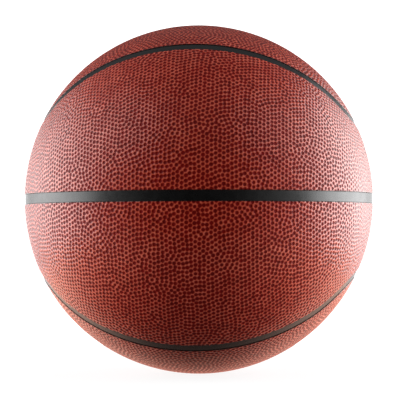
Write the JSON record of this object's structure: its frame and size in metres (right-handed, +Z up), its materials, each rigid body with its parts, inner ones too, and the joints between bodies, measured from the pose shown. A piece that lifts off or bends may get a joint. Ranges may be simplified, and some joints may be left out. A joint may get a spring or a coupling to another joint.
{
  "type": "basketball",
  "caption": "Ball of pebbled composite-leather panels on a black rubber carcass with raised ribs, over a wound bladder, with a needle valve.",
  "frame": {"origin": "centre of the ball", "axes": "+Z up through the middle of the upper curved channel, +X along the crossing of the two straight channels on the right, -Y towards the viewer of the front panels"},
  "size_m": [0.2398, 0.24, 0.24],
  "materials": {
    "cover_leather": "pebbled, satin",
    "channel_rubber": "smooth, semi-gloss",
    "wound_thread": "matte",
    "butyl": "matte",
    "valve_rubber": "satin",
    "plug_rubber": "matte"
  },
  "bodies": {
    "root": {"cap_panel_top_front": "cover_leather", "cap_panel_top_back": "cover_leather", "cap_panel_bottom_front": "cover_leather", "cap_panel_bottom_back": "cover_leather", "side_panel_top_front": "cover_leather", "side_panel_top_back": "cover_leather", "side_panel_bottom_front": "cover_leather", "side_panel_bottom_back": "cover_leather", "carcass": "channel_rubber", "winding": "wound_thread", "bladder": "butyl", "valve_housing": "valve_rubber", "valve_plug": "plug_rubber"}
  },
  "joints": []
}
